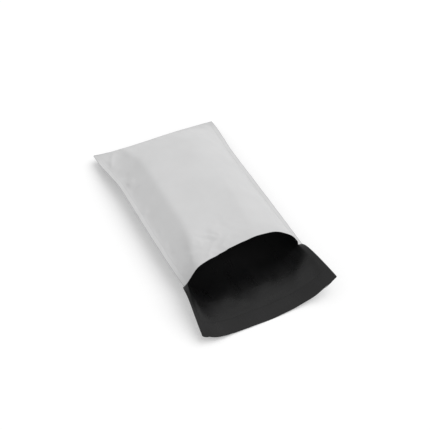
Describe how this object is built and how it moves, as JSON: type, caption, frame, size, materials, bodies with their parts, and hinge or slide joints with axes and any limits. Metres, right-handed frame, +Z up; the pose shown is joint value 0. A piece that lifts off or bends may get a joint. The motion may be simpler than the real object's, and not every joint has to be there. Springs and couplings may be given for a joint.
{
  "type": "poly mailer",
  "caption": "Film mailing bag lying on its back, open at the mouth, with welded sides, a folded closed end and a long flap that carries a closure strip.",
  "frame": {"origin": "centre of the bag's box, on the surface it lies on", "axes": "+Y from the mouth and flap towards the closed end, +Z up from the bag's back to its front panel"},
  "size_m": [0.1512, 0.2908, 0.0439],
  "materials": {
    "white_film": "satin white outside, black inside",
    "clear_adhesive": "tacky gloss over black film"
  },
  "bodies": {
    "root": {"film_pouch": "white_film", "adhesive_strip": "clear_adhesive"}
  },
  "joints": []
}
